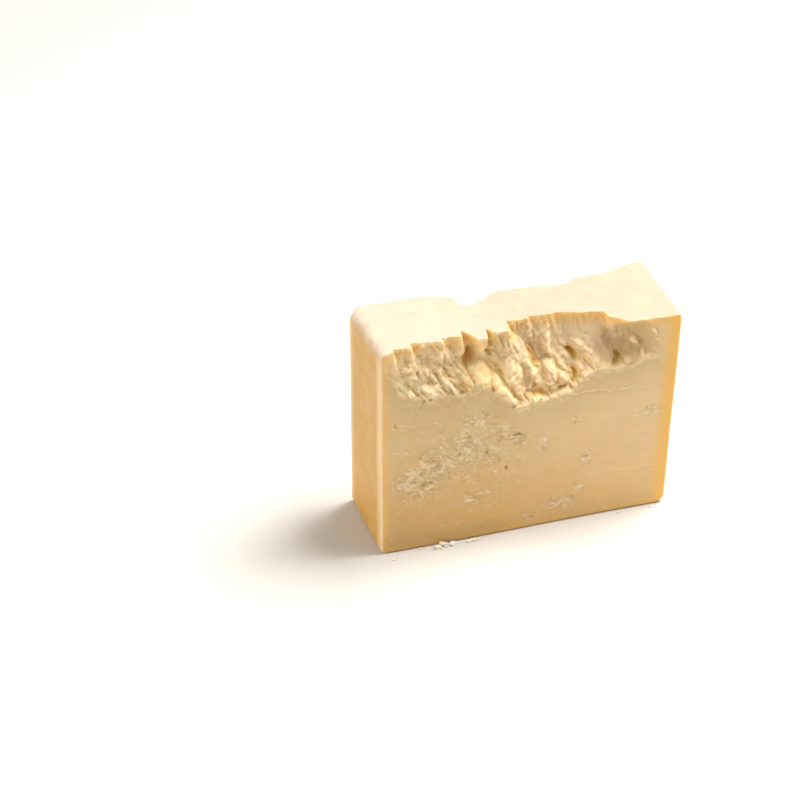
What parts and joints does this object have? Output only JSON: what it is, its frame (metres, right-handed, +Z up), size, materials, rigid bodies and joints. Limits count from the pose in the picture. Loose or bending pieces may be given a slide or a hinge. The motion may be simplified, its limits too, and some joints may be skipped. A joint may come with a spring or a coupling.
{
  "type": "slab of asiago cheese",
  "caption": "Slab of aged asiago sliced across a rind-covered loaf, standing on its rind, with flat cut faces and a broken craggy edge along the top.",
  "frame": {"origin": "centre of the bounding box in plan, at the bottom of the slab", "axes": "X along the slab from the left rind to the right rind, Y through its thickness with the larger break on the -Y cut face, Z up"},
  "size_m": [0.1249, 0.041, 0.0936],
  "materials": {
    "cheese": "satin, slightly translucent pale straw paste with a smooth yellower rind"
  },
  "bodies": {
    "root": {"cheese": "cheese"}
  },
  "joints": []
}
